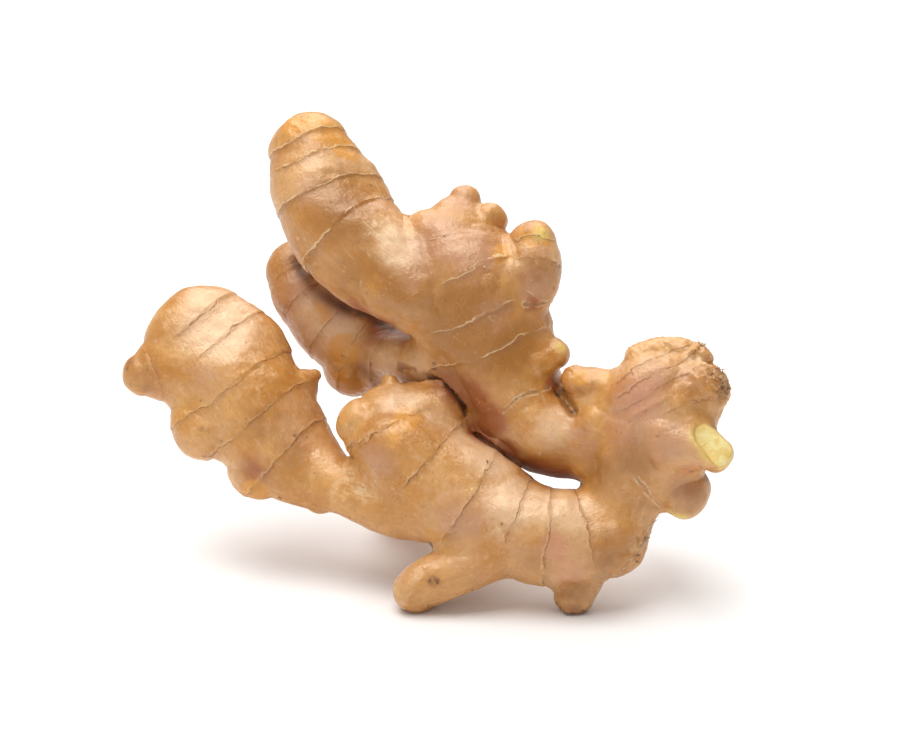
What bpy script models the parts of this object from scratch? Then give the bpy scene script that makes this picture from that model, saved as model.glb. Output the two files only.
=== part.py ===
"""Ginger root: one fresh rhizome with its fingers, buds and leaf-scar rings, resting on three of its buds.

A rhizome grows as one piece, so it is one solid. Every limb, finger and bud is a lobe: a ball drawn out along
its own spine, flattened a little, and stepped where each leaf was attached. The lobes overlap where they grew
from each other and are fused into one skin.
"""

import math
from collections import namedtuple

import bmesh
import bpy
import numpy as np

MM = 0.001

# Driving dimensions, in millimetres.
RING_STEP = 1.0  # how far a leaf scar stands over the next length of skin
RING_SWELL = 0.3  # how far the skin swells between two leaf scars
RING_WOBBLE = 0.7  # how far a leaf scar wanders along the finger as it goes round
LUMP = 0.05  # unevenness of a lobe, as a share of its radius
CENTRE = (1.7, -0.7, 0.0)  # puts the middle of the whole root over the origin
DOME = 0.85  # length of a lobe's rounded end, as a share of its radius
LEAN_BACK = 30.0  # degrees that the flat of the root leans back from upright
SKIN_VOXEL = 0.6  # grid on which the lobes are fused
SOFTENING = 3  # smoothing passes over the fused skin
TRIANGLE_SHARE = 0.0305  # share of the fused skin's triangles that is kept
SIDES = 48
ROWS = 96

# A lobe has stations from its root, sunk in what it grows from, to its tip. Each is x, y, z and radius in mm.
# thin is its thickness over its width, and rings are the leaf scars' distances from the tip's end.
Lobe = namedtuple("Lobe", "name stations thin rings")

LOBES = (
    Lobe("trunk", ((47.5, -26.5, 17.9, 11.5), (52.3, -24, 29.5, 9.8), (57, -22, 40.5, 13.5), (61, -21, 48.5, 14)), 0.95, ()),
    Lobe(
        "crown",
        ((68, -26, 45, 10), (65, -24, 51, 12.3), (62.5, -21, 55.5, 14.5), (60.5, -20, 59, 13.5)),
        0.9,
        (5, 9, 13, 17, 21, 25),
    ),
    Lobe("crown_peak_left", ((59.5, -19, 61.5, 6), (56.3, -17.5, 68.8, 3)), 1.0, ()),
    Lobe("crown_peak_middle", ((65, -19, 62.5, 6.5), (66.5, -17.5, 70, 3.5)), 1.0, ()),
    Lobe("crown_peak_right", ((70, -21, 63.5, 6), (73.3, -20.5, 68.3, 3.2)), 1.0, ()),
    Lobe(
        "crown_ridge",
        ((56.5, -17.5, 66.5, 5), (62.5, -17.5, 68.5, 4.6), (69, -18.5, 68.3, 4.5), (73.5, -20.5, 67.5, 3)),
        1.0,
        (),
    ),
    Lobe("stalk_scar", ((69.5, -24, 58, 10), (73.5, -25, 62, 7)), 1.0, ()),
    Lobe("crown_knob", ((57, -19, 57, 8), (49, -17, 57.5, 6.3), (43, -15.5, 59, 5), (39.8, -15, 60, 3.8)), 1.0, ()),
    Lobe("yellow_bud", ((64.5, -29, 48, 9), (71.5, -33, 48, 7), (76.5, -36, 46.5, 5)), 1.0, ()),
    Lobe("low_bud", ((63, -22, 35, 8), (69.3, -27, 32, 7.3)), 1.0, ()),
    Lobe("back_bud", ((60, -14, 44, 11), (62, -2, 41, 8.5), (63, 5, 38, 6)), 1.0, (7,)),
    Lobe(
        "front_limb",
        (
            (48.5, -27, 21.5, 11),
            (38, -27, 19.3, 13.8),
            (24.5, -25, 21, 14),
            (11, -21, 27.5, 14.8),
            (-0.5, -16, 34.5, 15),
            (-8.5, -11, 42, 14.5),
            (-10.5, -8, 46.5, 11),
        ),
        0.9,
        (13, 27, 42, 55, 65, 76),
    ),
    Lobe("front_end", ((-16, -12, 42.5, 8.5), (-7, -9, 46, 9.5), (3, -8, 48, 8.5)), 1.0, ()),
    Lobe("front_knob_left", ((-9.5, -13, 42.5, 8.5), (-19.5, -11, 46.5, 6.5)), 1.0, ()),
    Lobe("front_knob_top", ((-6.5, -9, 43.5, 7), (-10, -6, 52, 4), (-10.6, -5.5, 56.3, 2.4)), 1.0, ()),
    Lobe("front_knob_right", ((-1, -9, 43.5, 8), (4.5, -6.5, 50, 5.5), (2.2, -6, 55, 3.2)), 1.0, ()),
    Lobe("left_neck", ((-1, -19, 27, 11), (-12, -15, 26, 10), (-23, -11, 27.5, 8.5), (-31.5, -6, 29.5, 9.5)), 0.9, ()),
    Lobe(
        "left_finger",
        ((-28, -9, 28, 8.5), (-38.5, -3, 34, 14), (-48, 4, 43.5, 17), (-57, 10.3, 54.3, 17.8), (-64.5, 15, 62.5, 15.3)),
        0.75,
        (10.5, 19.5, 31.5, 43.5, 56),
    ),
    Lobe("left_bud_far", ((-63.5, 11, 56, 12), (-74, 9, 54.5, 9.7), (-80, 7, 53.5, 5.5)), 0.9, (8,)),
    Lobe("left_bud_middle", ((-54, 5, 44, 14), (-62.5, 2, 40.5, 10.5)), 0.8, ()),
    Lobe("left_bud_low", ((-40.5, -3, 33.5, 11), (-48, -5, 30, 8.5)), 0.9, ()),
    Lobe("left_bud_upper", ((-53, 13, 62.5, 6), (-48.5, 13.8, 65.5, 2.8), (-46, 14, 66.8, 1.2)), 0.8, ()),
    Lobe("left_bud_inner", ((-38.5, 5, 48.5, 8.5), (-34.8, 5.5, 51.5, 5.2), (-31, 6, 54, 1.8)), 0.8, ()),
    Lobe("left_bud_back", ((-50, 6, 46, 10), (-49, 17, 47, 7.5), (-49, 21, 48, 5)), 1.0, ()),
    Lobe("left_foot", ((19, -27, 17, 9.5), (8, -30, 11.5, 7.5), (-1, -31, 7.5, 7), (-4, -31, 5.2, 6.5)), 1.0, ()),
    Lobe("right_foot", ((42, -27, 17, 9), (40.5, -30, 9.5, 7), (39, -32, 4, 5.5)), 1.0, ()),
    Lobe("neck", ((52.5, -19, 41.5, 11.5), (42, -13, 42, 11.3), (32.5, -9.5, 43.3, 12.8), (25, -5.5, 48.5, 14)), 1.0, ()),
    Lobe(
        "back_limb",
        (
            (27.5, -7, 47, 13),
            (21.5, -5, 58, 15),
            (16, -1, 71, 16.5),
            (11, 3, 82.5, 16.5),
            (8.3, 9, 91.2, 14.3),
            (9.2, 13, 98.5, 8.2),
        ),
        0.85,
        (12, 24, 34.5, 42.5, 52, 61),
    ),
    Lobe("back_limb_side", ((2, 1, 77, 11), (8.5, -1, 66, 10), (13.5, -4, 57, 9)), 1.0, ()),
    Lobe("back_limb_shoulder", ((7, 6, 86, 12), (-1, 8, 94, 7.5)), 1.0, ()),
    Lobe("back_limb_corner", ((12, 9, 92, 8.5), (17, 9, 98, 3.8)), 1.0, ()),
    Lobe("back_limb_bud", ((13, 4, 80, 12), (12, 16, 83, 8), (11, 22, 86, 5.5)), 1.0, (7,)),
    Lobe(
        "upper_finger",
        ((-1.5, 1.5, 79, 12.8), (-13.5, 8, 86, 14), (-23.5, 15, 94, 14.7), (-29, 22, 103, 14.7), (-33, 28, 112.5, 11.8)),
        0.9,
        (9.5, 15.5, 26, 37.5),
    ),
    Lobe("right_bud", ((26.5, -3, 80, 6.6), (28.8, -0.5, 87.5, 7), (28.3, 3, 94.2, 6)), 1.0, (8,)),
    Lobe("small_bud", ((28.5, -9, 63.5, 6.5), (34, -8, 65.5, 4.5)), 1.0, ()),
    Lobe(
        "rear_finger",
        ((3, 9, 54, 10.5), (-8.5, 17, 54.5, 11), (-22.5, 25, 60.5, 12), (-33.5, 31, 70.5, 11.5), (-37.5, 34, 76, 9)),
        0.95,
        (9.5, 17, 28, 38, 47),
    ),
    Lobe("rear_bud", ((-18, 22, 54, 10), (-22, 21, 50, 8.5)), 1.0, ()),
    Lobe("rear_foot", ((19, -2, 49.5, 12), (6, 11, 28, 9.5), (-5, 23, 12, 8), (-8.5, 27, 5.8, 7.2)), 1.0, (9, 18, 28)),
)


def clear_scene():
    for obj in list(bpy.data.objects):
        bpy.data.objects.remove(obj, do_unlink=True)


def through(stations, rows):
    """Points and radii along a smooth Catmull-Rom curve through the stations, rows of them to each span."""
    ends = np.vstack([2 * stations[0] - stations[1], stations, 2 * stations[-1] - stations[-2]])
    steps = np.linspace(0, 1, rows, endpoint=False)[:, None]
    spans = []
    for before, start, end, after in zip(ends, ends[1:], ends[2:], ends[3:]):
        spans.append(
            0.5
            * (
                2 * start
                + (end - before) * steps
                + (2 * before - 5 * start + 4 * end - after) * steps**2
                + (3 * start - before - 3 * end + after) * steps**3
            )
        )
    return np.vstack(spans + [stations[-1:]])


def unit(vectors):
    return vectors / np.linalg.norm(vectors, axis=-1, keepdims=True)


def rounded_spine(stations):
    """Centres, directions, radii and distances from the tip of a lobe's sections, its two domes included."""
    curve = through(np.array(stations, float), 24)
    heading = unit(np.gradient(curve[:, :3], axis=0))
    radii = np.maximum(curve[:, 3], 1.0)
    quarter = np.linspace(0, math.pi / 2, 24)
    root_reach = radii[0] * DOME * np.cos(quarter[:-1])
    tip_reach = radii[-1] * DOME * np.sin(quarter[1:])
    centres = np.vstack(
        [
            curve[0, :3] - root_reach[:, None] * heading[0],
            curve[:, :3],
            curve[-1, :3] + tip_reach[:, None] * heading[-1],
        ]
    )
    headings = np.vstack([np.tile(heading[0], (23, 1)), heading, np.tile(heading[-1], (23, 1))])
    all_radii = np.concatenate([radii[0] * np.sin(quarter[:-1]), radii, radii[-1] * np.cos(quarter[1:])])
    length = np.concatenate([[0], np.cumsum(np.linalg.norm(np.diff(centres, axis=0), axis=1))])
    return centres, headings, all_radii, length[-1] - length


def ring_relief(from_tip, rings):
    """Height of the skin: it swells over each length, stands proud at the leaf scar and steps back past it."""
    edges = np.array([0.0, *rings, rings[-1] + 12.0])
    number = np.clip(np.searchsorted(edges, from_tip, side="right") - 1, 0, len(edges) - 2)
    length = edges[number + 1] - edges[number]
    share = np.clip((from_tip - edges[number]) / length, 0, 1)
    relief = RING_STEP * (share - 0.5) + RING_SWELL * 4 * share * (1 - share)
    return relief * np.clip(length / 9, 0.6, 1) * np.where(number == 0, share, 1)


def lobe_skin(lobe, seed, along, turn):
    """Points of the lobe's skin: along runs from 0 at the root's end to 1 at the tip, turn is the angle round it."""
    centres, headings, radii, from_tip = rounded_spine(lobe.stations)
    walk = np.hypot(np.linalg.norm(np.diff(centres, axis=0), axis=1), np.diff(radii))
    position = np.concatenate([[0], np.cumsum(walk)]) / walk.sum()
    centre = np.column_stack([np.interp(along, position, axis) for axis in centres.T])
    heading = unit(np.column_stack([np.interp(along, position, axis) for axis in headings.T]))
    radius = np.interp(along, position, radii)
    tip = np.interp(along, position, from_tip)

    lean = math.radians(LEAN_BACK)
    facing = np.array([0.0, -math.cos(lean), math.sin(lean)])
    across = unit(facing - (heading @ facing)[:, None] * heading)
    beside = np.cross(heading, across)

    uneven = 1 + LUMP * (np.sin(2 * turn + tip / 9 + seed) + 0.7 * np.sin(3 * turn - tip / 6 + 2.3 * seed))
    relief = 0.0
    if lobe.rings:
        wander = RING_WOBBLE * (np.sin(2 * turn + 1.7 * seed) + 0.5 * np.sin(5 * turn + seed))
        cap = np.clip(radius / radii.max() * 2, 0, 1)
        relief = ring_relief(tip + wander, lobe.rings) * cap
    reach = radius * uneven + relief
    skin = centre + (reach * np.cos(turn) * lobe.thin)[:, None] * across + (reach * np.sin(turn))[:, None] * beside
    return skin + np.array(CENTRE)


def unit_ball():
    ball = bmesh.new()
    bmesh.ops.create_uvsphere(ball, u_segments=SIDES, v_segments=ROWS, radius=1)
    mesh = bpy.data.meshes.new("ball")
    ball.to_mesh(mesh)
    ball.free()
    return mesh


def add_lobe(skin, ball, lobe, seed):
    """Adds a ball to the skin and draws it out along the lobe's spine."""
    shape = np.array([vert.co for vert in ball.vertices])
    along = np.arccos(np.clip(-shape[:, 2], -1, 1)) / math.pi
    turn = np.arctan2(shape[:, 1], shape[:, 0])
    skin.from_mesh(ball)
    skin.verts.ensure_lookup_table()
    for vert, place in zip(skin.verts[-len(shape) :], lobe_skin(lobe, seed, along, turn) * MM):
        vert.co = place


def skin_material():
    material = bpy.data.materials.new("ginger_skin")
    material.use_nodes = True
    shader = material.node_tree.nodes["Principled BSDF"]
    shader.inputs["Base Color"].default_value = (0.56, 0.33, 0.15, 1)
    shader.inputs["Roughness"].default_value = 0.45
    shader.inputs["Metallic"].default_value = 0.0
    return material


def floor_cutter(collection):
    """A block whose top is the surface that the root rests on: it leaves a flat spot under each foot."""
    bpy.ops.mesh.primitive_cube_add(size=1, location=(0, 0, -10 * MM))
    cutter = bpy.context.object
    cutter.name = "floor_cutter"
    cutter.scale = (300 * MM, 300 * MM, 20 * MM)
    cutter.display_type = "WIRE"
    cutter.hide_render = True
    for holder in list(cutter.users_collection):
        holder.objects.unlink(cutter)
    collection.objects.link(cutter)
    return cutter


def make_root(collection, cutter):
    skin = bmesh.new()
    ball = unit_ball()
    for number, lobe in enumerate(LOBES):
        add_lobe(skin, ball, lobe, seed=1.0 + 2.4 * number)
    bpy.data.meshes.remove(ball)
    mesh = bpy.data.meshes.new("ginger_root")
    skin.to_mesh(mesh)
    skin.free()
    root = bpy.data.objects.new("ginger_root", mesh)
    collection.objects.link(root)
    mesh.materials.append(skin_material())

    fuse = root.modifiers.new("fuse", "REMESH")
    fuse.mode = "VOXEL"
    fuse.voxel_size = SKIN_VOXEL * MM
    soften = root.modifiers.new("soften", "SMOOTH")
    soften.factor = 0.5
    soften.iterations = SOFTENING
    thin_out = root.modifiers.new("thin_out", "DECIMATE")
    thin_out.ratio = TRIANGLE_SHARE
    rest = root.modifiers.new("rest", "BOOLEAN")
    rest.operation = "DIFFERENCE"
    rest.object = cutter
    return root


def main():
    clear_scene()
    parts = bpy.data.collections.new("ginger_root_parts")
    cutters = bpy.data.collections.new("cutters")
    bpy.context.scene.collection.children.link(parts)
    bpy.context.scene.collection.children.link(cutters)
    make_root(parts, floor_cutter(cutters))


main()
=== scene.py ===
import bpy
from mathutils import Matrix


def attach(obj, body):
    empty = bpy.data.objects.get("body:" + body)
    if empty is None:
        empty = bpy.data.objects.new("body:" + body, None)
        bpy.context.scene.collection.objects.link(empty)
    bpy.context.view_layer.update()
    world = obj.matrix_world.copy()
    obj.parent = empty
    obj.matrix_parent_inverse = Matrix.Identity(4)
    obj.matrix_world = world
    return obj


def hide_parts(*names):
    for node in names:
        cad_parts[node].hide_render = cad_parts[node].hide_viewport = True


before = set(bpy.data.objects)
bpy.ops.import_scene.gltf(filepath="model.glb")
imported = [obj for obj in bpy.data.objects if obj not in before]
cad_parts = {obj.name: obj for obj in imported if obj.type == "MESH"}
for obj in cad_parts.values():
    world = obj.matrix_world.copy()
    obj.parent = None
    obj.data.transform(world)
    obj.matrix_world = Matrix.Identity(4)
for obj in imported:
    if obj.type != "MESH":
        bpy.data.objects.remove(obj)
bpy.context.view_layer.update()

import math
from collections import namedtuple

import bpy
import numpy as np
from mathutils import Vector

# Camera: a long lens 0.9 m from the root, looking 20 degrees down on its middle, as in the photograph.
# The root fills two thirds of the frame's width.
LOOK_AT = Vector((0.0074, -0.0137, 0.0617))
CAMERA_DISTANCE = 0.9
CAMERA_TILT = math.radians(20)

camera = bpy.data.objects.new("camera", bpy.data.cameras.new("camera"))
camera.location = LOOK_AT + CAMERA_DISTANCE * Vector((0, -math.cos(CAMERA_TILT), math.sin(CAMERA_TILT)))
camera.rotation_euler = (math.pi / 2 - CAMERA_TILT, 0, 0)
camera.data.sensor_width = 36
camera.data.lens = 133.3
camera.data.clip_start = 0.05
camera.data.clip_end = 20
bpy.context.scene.collection.objects.link(camera)
bpy.context.scene.camera = camera

# The rhizome's shape: a body, fingers, side buds and feet that swelled out of each other and are one living piece.
# Each is a lobe on its own spine. The lobes are fused, the joints between them filled out as flesh fills them, and
# the leaf scars stand on the skin as thin raised lips with a step behind them.

# Stations are x, y, z and radius in mm, from the root of the lobe to its tip. thin is thickness over width, scars are
# the leaf scars' distances from the tip, and melt is how widely, in mm, the lobe's joint is filled out.
# A swelling is a lobe with no skin of its own: the scars of what it stands on run over it.
Lobe = namedtuple("Lobe", "name stations thin scars melt swelling", defaults=(False,))

LOBES = (
    Lobe(
        "trunk",
        ((47.5, -26.5, 17.9, 11.5), (52.3, -24, 29.5, 9.8), (57, -22, 40.5, 13.5), (61, -21, 48.5, 14)),
        0.95,
        (),
        7,
    ),
    Lobe(
        "crown",
        ((68, -26, 45, 10), (65, -24, 51, 12.3), (62.5, -21, 55.5, 14.5), (60.5, -20, 59, 13.5)),
        0.9,
        (4, 7.5, 11, 14.5, 18, 21.5, 25),
        7,
    ),
    Lobe("crown_peak_left", ((59.5, -19, 61.5, 6), (56.3, -17.5, 68.8, 3)), 1.0, (), 5, True),
    Lobe("crown_peak_middle", ((65, -19, 62.5, 6.5), (66.5, -17.5, 70, 3.5)), 1.0, (), 5, True),
    Lobe("crown_peak_right", ((70, -21, 63.5, 6), (73.3, -20.5, 68.3, 3.2)), 1.0, (), 4, True),
    Lobe(
        "crown_ridge",
        ((56.5, -17.5, 66.5, 5), (62.5, -17.5, 68.5, 4.6), (69, -18.5, 68.3, 4.5), (73.5, -20.5, 67.5, 3)),
        1.0,
        (),
        5,
        True,
    ),
    Lobe("stalk_scar", ((69.5, -24, 58, 10), (73.5, -25, 62, 7)), 1.0, (), 4, True),
    Lobe("crown_knob", ((57, -19, 57, 8), (49, -17, 57.5, 6.3), (43, -15.5, 59, 5), (39, -14.7, 60.2, 3.9)), 1.0, (), 7),
    Lobe("crown_cheek", ((56, -22, 48, 12), (47, -18.5, 49.5, 8)), 1.0, (), 7, True),
    Lobe("crown_hollow", ((46, -15, 49, 7), (39, -12, 52, 5.2)), 1.0, (), 6, True),
    Lobe("yellow_bud", ((64.5, -29, 48, 9), (71.5, -33, 48, 7), (76.5, -36, 46.5, 5)), 1.0, (), 4),
    Lobe("low_bud", ((63, -22, 35, 8), (69.3, -27, 32, 7.3)), 1.0, (), 4),
    Lobe("back_bud", ((60, -14, 44, 11), (62, -2, 41, 8.5), (63, 5, 38, 6)), 1.0, (7,), 4),
    Lobe(
        "front_limb",
        (
            (48.5, -27, 21.5, 11),
            (38, -27, 19.3, 13.8),
            (24.5, -25, 21, 14),
            (11, -21, 27.5, 14.8),
            (-0.5, -16, 34.5, 15),
            (-8.5, -11, 42, 14.5),
            (-10.5, -8, 46.5, 11),
        ),
        0.9,
        (13, 27, 42, 55, 65, 76),
        7,
    ),
    Lobe("front_end", ((-16, -12, 42.5, 8.5), (-7, -9, 46, 9.5), (3, -8, 48, 8.5)), 1.0, (), 6, True),
    Lobe("front_knob_left", ((-9.5, -13, 42.5, 8.5), (-19.5, -11, 46.5, 6.5)), 1.0, (), 4.5, True),
    Lobe("front_knob_top", ((-6.5, -9, 43.5, 7), (-10, -6, 52, 4.6), (-10.6, -5.5, 56, 2.3)), 1.0, (), 5, True),
    Lobe("front_knob_right", ((-1, -9, 43.5, 8), (4.5, -6.5, 50, 5.5), (2.2, -6, 55, 3.2)), 1.0, (), 4, True),
    Lobe("left_neck", ((-1, -19, 27, 11), (-12, -15, 26, 10), (-23, -11, 27.5, 8.5), (-31.5, -6, 29.5, 9.5)), 0.9, (), 7),
    Lobe(
        "left_finger",
        ((-28, -9, 28, 8.5), (-38.5, -3, 34, 14), (-48, 4, 43.5, 17), (-57, 10.3, 54.3, 17.8), (-64.5, 15, 62.5, 15.3)),
        0.75,
        (10.5, 19.5, 31.5, 43.5, 56),
        7,
    ),
    Lobe("left_bud_far", ((-63.5, 11, 56, 12), (-74, 9, 54.5, 9.7), (-80, 7, 53.5, 5.5)), 0.9, (8,), 6),
    Lobe("left_bud_middle", ((-54, 5, 44, 14), (-62.5, 2, 40.5, 10.5)), 0.8, (), 6, True),
    Lobe("left_bud_low", ((-40.5, -3, 33.5, 11), (-48, -5, 30, 8.5)), 0.9, (), 5, True),
    Lobe("left_bud_upper", ((-53, 13, 62.5, 6), (-48.5, 13.8, 65.5, 2.8), (-46, 14, 66.8, 1.2)), 0.8, (), 3, True),
    Lobe("left_bud_inner", ((-38.5, 5, 48.5, 8.5), (-34.8, 5.5, 51.5, 5.2), (-31.6, 6, 53.8, 1.7)), 0.8, (), 3, True),
    Lobe("left_bud_back", ((-50, 6, 46, 10), (-49, 17, 47, 7.5), (-49, 21, 48, 5)), 1.0, (), 5),
    Lobe("left_foot", ((19, -27, 17, 9.5), (8, -30, 11.5, 7.5), (-1, -31, 7.5, 7), (-4, -31, 5.2, 6.5)), 1.0, (), 5),
    Lobe("right_foot", ((42, -27, 17, 9), (40.5, -30, 9.5, 7), (39, -32, 4, 5.5)), 1.0, (), 5),
    Lobe("neck", ((52.5, -19, 41.5, 11.5), (42, -13, 42, 11.3), (32.5, -9.5, 43.3, 12.8), (25, -5.5, 48.5, 14)), 1.0, (), 7),
    Lobe(
        "back_limb",
        (
            (27.5, -7, 47, 13),
            (21.5, -5, 58, 15),
            (16, -1, 71, 16.5),
            (11, 3, 82.5, 16.5),
            (8.3, 9, 91, 14.4),
            (8.8, 11.5, 96, 11.2),
            (9.4, 13, 99.6, 8),
            (10, 14, 102, 4.6),
        ),
        0.85,
        (16, 26, 36, 46, 59, 66),
        7,
    ),
    Lobe("back_limb_side", ((2, 1, 77, 11), (8.5, -1, 66, 10), (13.5, -4, 57, 9)), 1.0, (), 6, True),
    Lobe("back_limb_shoulder", ((7, 6, 86, 12), (-1, 8, 94, 7.5)), 1.0, (), 7, True),
    Lobe("back_limb_corner", ((12, 9, 92, 8.5), (16.8, 10, 98.3, 4.6)), 1.0, (), 6, True),
    Lobe("back_limb_bud", ((13, 4, 80, 12), (12, 16, 83, 8), (11, 22, 86, 5.5)), 1.0, (7,), 3),
    Lobe(
        "upper_finger",
        ((-1.5, 1.5, 79, 12.8), (-13.5, 8, 86, 14), (-23.5, 15, 94, 14.7), (-29, 22, 103, 14.7), (-33, 28, 112.5, 11.8)),
        0.9,
        (9.5, 15.5, 26, 37.5),
        7,
    ),
    Lobe("right_bud", ((26.5, -3, 80, 6.6), (28.8, -0.5, 87.5, 7), (28.3, 3, 94.2, 6)), 1.0, (5.5, 11, 20), 3),
    Lobe("small_bud", ((28.5, -9, 63.5, 6.5), (34, -8, 65.5, 4.5)), 1.0, (), 4),
    Lobe(
        "rear_finger",
        ((3, 9, 54, 10.5), (-8.5, 17, 54.5, 11), (-22.5, 25, 60.5, 12), (-33.5, 31, 70.5, 11.5), (-37.5, 34, 76, 9)),
        0.95,
        (9.5, 17, 28, 38, 47),
        4,
    ),
    Lobe("rear_root", ((-14, 17, 57, 8), (-4, 8, 58, 8.5), (5, 1, 60, 9)), 1.0, (), 7, True),
    Lobe("rear_bud", ((-18, 22, 54, 10), (-22, 21, 50, 8.5)), 1.0, (), 5, True),
    Lobe("rear_foot", ((19, -2, 49.5, 12), (6, 11, 28, 9.5), (-5, 23, 12, 8), (-8.5, 27, 5.8, 7.2)), 1.0, (9, 18, 28), 4),
)
# Limbs that only lie against each other: between them the skin is pinched in and not filled out.
LYING_TOGETHER = (
    ("neck", "front_limb"),
    ("neck", "front_end"),
    ("neck", "front_knob_right"),
    ("back_limb", "front_limb"),
    ("back_limb", "front_end"),
    ("back_limb", "front_knob_right"),
    ("back_limb_side", "front_end"),
    ("back_limb_side", "front_knob_right"),
    ("back_limb_side", "rear_finger"),
    ("back_limb", "rear_finger"),
    ("upper_finger", "rear_finger"),
    ("front_end", "rear_finger"),
    ("front_limb", "rear_finger"),
    ("left_bud_inner", "rear_finger"),
    ("front_end", "rear_root"),
    ("front_limb", "rear_root"),
    ("front_knob_top", "rear_root"),
    ("front_knob_right", "rear_root"),
    ("upper_finger", "rear_root"),
    ("crown_knob", "neck"),
    ("yellow_bud", "low_bud"),
)
# How brown the line of a leaf scar is and how pale its lip. The limbs near the body have the older, browner scars.
SCAR_LOOKS = {
    "front_limb": (0.85, 0.35), "left_finger": (0.9, 0.35), "rear_finger": (0.9, 0.2), "upper_finger": (0.45, 0.85),
    "back_limb": (0.3, 0.75), "crown": (0.9, 0.15), "left_bud_far": (0.8, 0.2), "right_bud": (0.7, 0.4),
}
# Where the skin runs smoothly over a joint, as x, y, z, radius in mm and strength.
SMOOTHED = (
    (-1, 5, 98.5, 8, 1.0), (17, 6, 98, 7, 1.0), (9, 9, 102, 8, 1.0), (15, 9, 101, 6, 1.0), (45, -19, 50, 5, 0.9),
)
# How far in mm the stations are moved, so that the root's box stands over the origin.
CENTRE = np.array((1.7, -0.7, 0.0))
# A lobe's end is this much of a half ball, and its flat side faces forwards and 30 degrees up.
DOME = 0.85
FACING = np.array([0.0, -math.cos(math.radians(30)), math.sin(math.radians(30))])
# The usual distance between leaf scars in mm, and one that is too far from a lobe to count.
SPACING = 9.0
FAR = 50.0
MM = 0.001


def unit(vectors):
    """Vectors divided by their own lengths."""
    return vectors / np.linalg.norm(vectors, axis=-1, keepdims=True)


def along_spine(lobe, rows):
    """A Catmull-Rom curve through the stations: each span is the cubic whose slopes are half the chords beside it."""
    stations = np.array(lobe.stations, float) + [*CENTRE, 0]
    ends = np.vstack([2 * stations[0] - stations[1], stations, 2 * stations[-1] - stations[-2]])
    t = np.linspace(0, 1, rows, endpoint=False)[:, None]
    spans = [
        0.5 * (2 * b + (c - a) * t + (2 * a - 5 * b + 4 * c - d) * t**2 + (3 * b - a - 3 * c + d) * t**3)
        for a, b, c, d in zip(ends, ends[1:], ends[2:], ends[3:])
    ]
    curve = np.vstack(spans + [stations[-1:]])
    return curve[:, :3], np.maximum(curve[:, 3], 1)


def across_and_beside(heading):
    """The two directions square to the spine: the flat side's, leaning back 30 degrees, and the wide side's."""
    across = unit(FACING - (heading @ FACING)[:, None] * heading)
    return across, np.cross(heading, across)


def lobe_surface(lobe, seed, rows=150, sides=64):
    """An oval carried along the spine, v round it and u along it, closing as a quarter ellipse at both ends.
    Two slow waves in v and u keep it from being round. The rows lie closer together towards the two ends."""
    middle, radius = along_spine(lobe, 24)
    heading = unit(np.gradient(middle, axis=0))
    quarter = np.linspace(0, math.pi / 2, 24)[:, None]
    root = middle[0] - radius[0] * DOME * np.cos(quarter[:-1]) * heading[0]
    tip = middle[-1] + radius[-1] * DOME * np.sin(quarter[1:]) * heading[-1]
    centres = np.vstack([root, middle, tip])
    headings = np.vstack([np.tile(heading[0], (len(root), 1)), heading, np.tile(heading[-1], (len(tip), 1))])
    radii = np.concatenate([radius[0] * np.sin(quarter[:-1, 0]), radius, radius[-1] * np.cos(quarter[1:, 0])])
    length = np.concatenate([[0], np.cumsum(np.linalg.norm(np.diff(centres, axis=0), axis=1))])
    walk = np.concatenate([[0], np.cumsum(np.hypot(np.diff(length), np.diff(radii)))])

    u = (1 - np.cos(np.linspace(0, math.pi, rows + 2))) / 2 * 0.35 + np.linspace(0, 1, rows + 2) * 0.65
    place = u * walk[-1]
    centre = np.column_stack([np.interp(place, walk, axis) for axis in centres.T])
    heading = unit(np.column_stack([np.interp(place, walk, axis) for axis in headings.T]))
    r = np.interp(place, walk, radii)
    from_tip = length[-1] - np.interp(place, walk, length)
    across, beside = across_and_beside(heading)
    v = np.linspace(0, 2 * math.pi, sides, endpoint=False)[None, :]
    slow = 0.05 * np.sin(2 * v + from_tip[:, None] / 9 + seed)
    quick = 0.035 * np.sin(3 * v - from_tip[:, None] / 6 + 2.3 * seed)
    reach = r[:, None] * (1 + slow + quick)
    grid = (
        centre[:, None]
        + (reach * np.cos(v) * lobe.thin)[..., None] * across[:, None]
        + (reach * np.sin(v))[..., None] * beside[:, None]
    )
    return grid[1:-1], centre[0], centre[-1]


def closed_grid(grid, first_pole, last_pole, start):
    """Faces of a grid of rows by sides that closes on itself round v and comes to a pole at each end."""
    rows, sides = grid.shape[:2]
    number = start + np.arange(rows * sides).reshape(rows, sides)
    after = np.roll(number, -1, axis=1)
    quads = np.stack([number[:-1], after[:-1], after[1:], number[1:]], axis=-1).reshape(-1, 4)
    pole = np.full(sides, start + rows * sides)
    caps = np.concatenate(
        [np.stack([pole, after[0], number[0]], axis=-1), np.stack([pole + 1, number[-1], after[-1]], axis=-1)]
    )
    points = np.vstack([grid.reshape(-1, 3), first_pole, last_pole])
    return points, quads.tolist() + caps.tolist()


def mesh_of(name, points, faces):
    """A mesh from arrays in millimetres."""
    mesh = bpy.data.meshes.new(name)
    mesh.from_pydata(points * MM, [], faces)
    return mesh


def finished(name, mesh, modifiers):
    """The mesh after these modifiers."""
    piece = bpy.data.objects.new(name, mesh)
    bpy.context.scene.collection.objects.link(piece)
    for kind, settings in modifiers:
        modifier = piece.modifiers.new(kind.lower(), kind)
        for key, value in settings.items():
            setattr(modifier, key, value)
    result = bpy.data.meshes.new_from_object(piece.evaluated_get(bpy.context.evaluated_depsgraph_get()))
    bpy.data.objects.remove(piece)
    return result


def numbers(items, what, width):
    """One value of every item of a mesh, as an array."""
    values = np.zeros(len(items) * width, np.int32 if what == "vertices" else np.float32)
    items.foreach_get(what, values)
    return values.reshape(-1, width)


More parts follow.
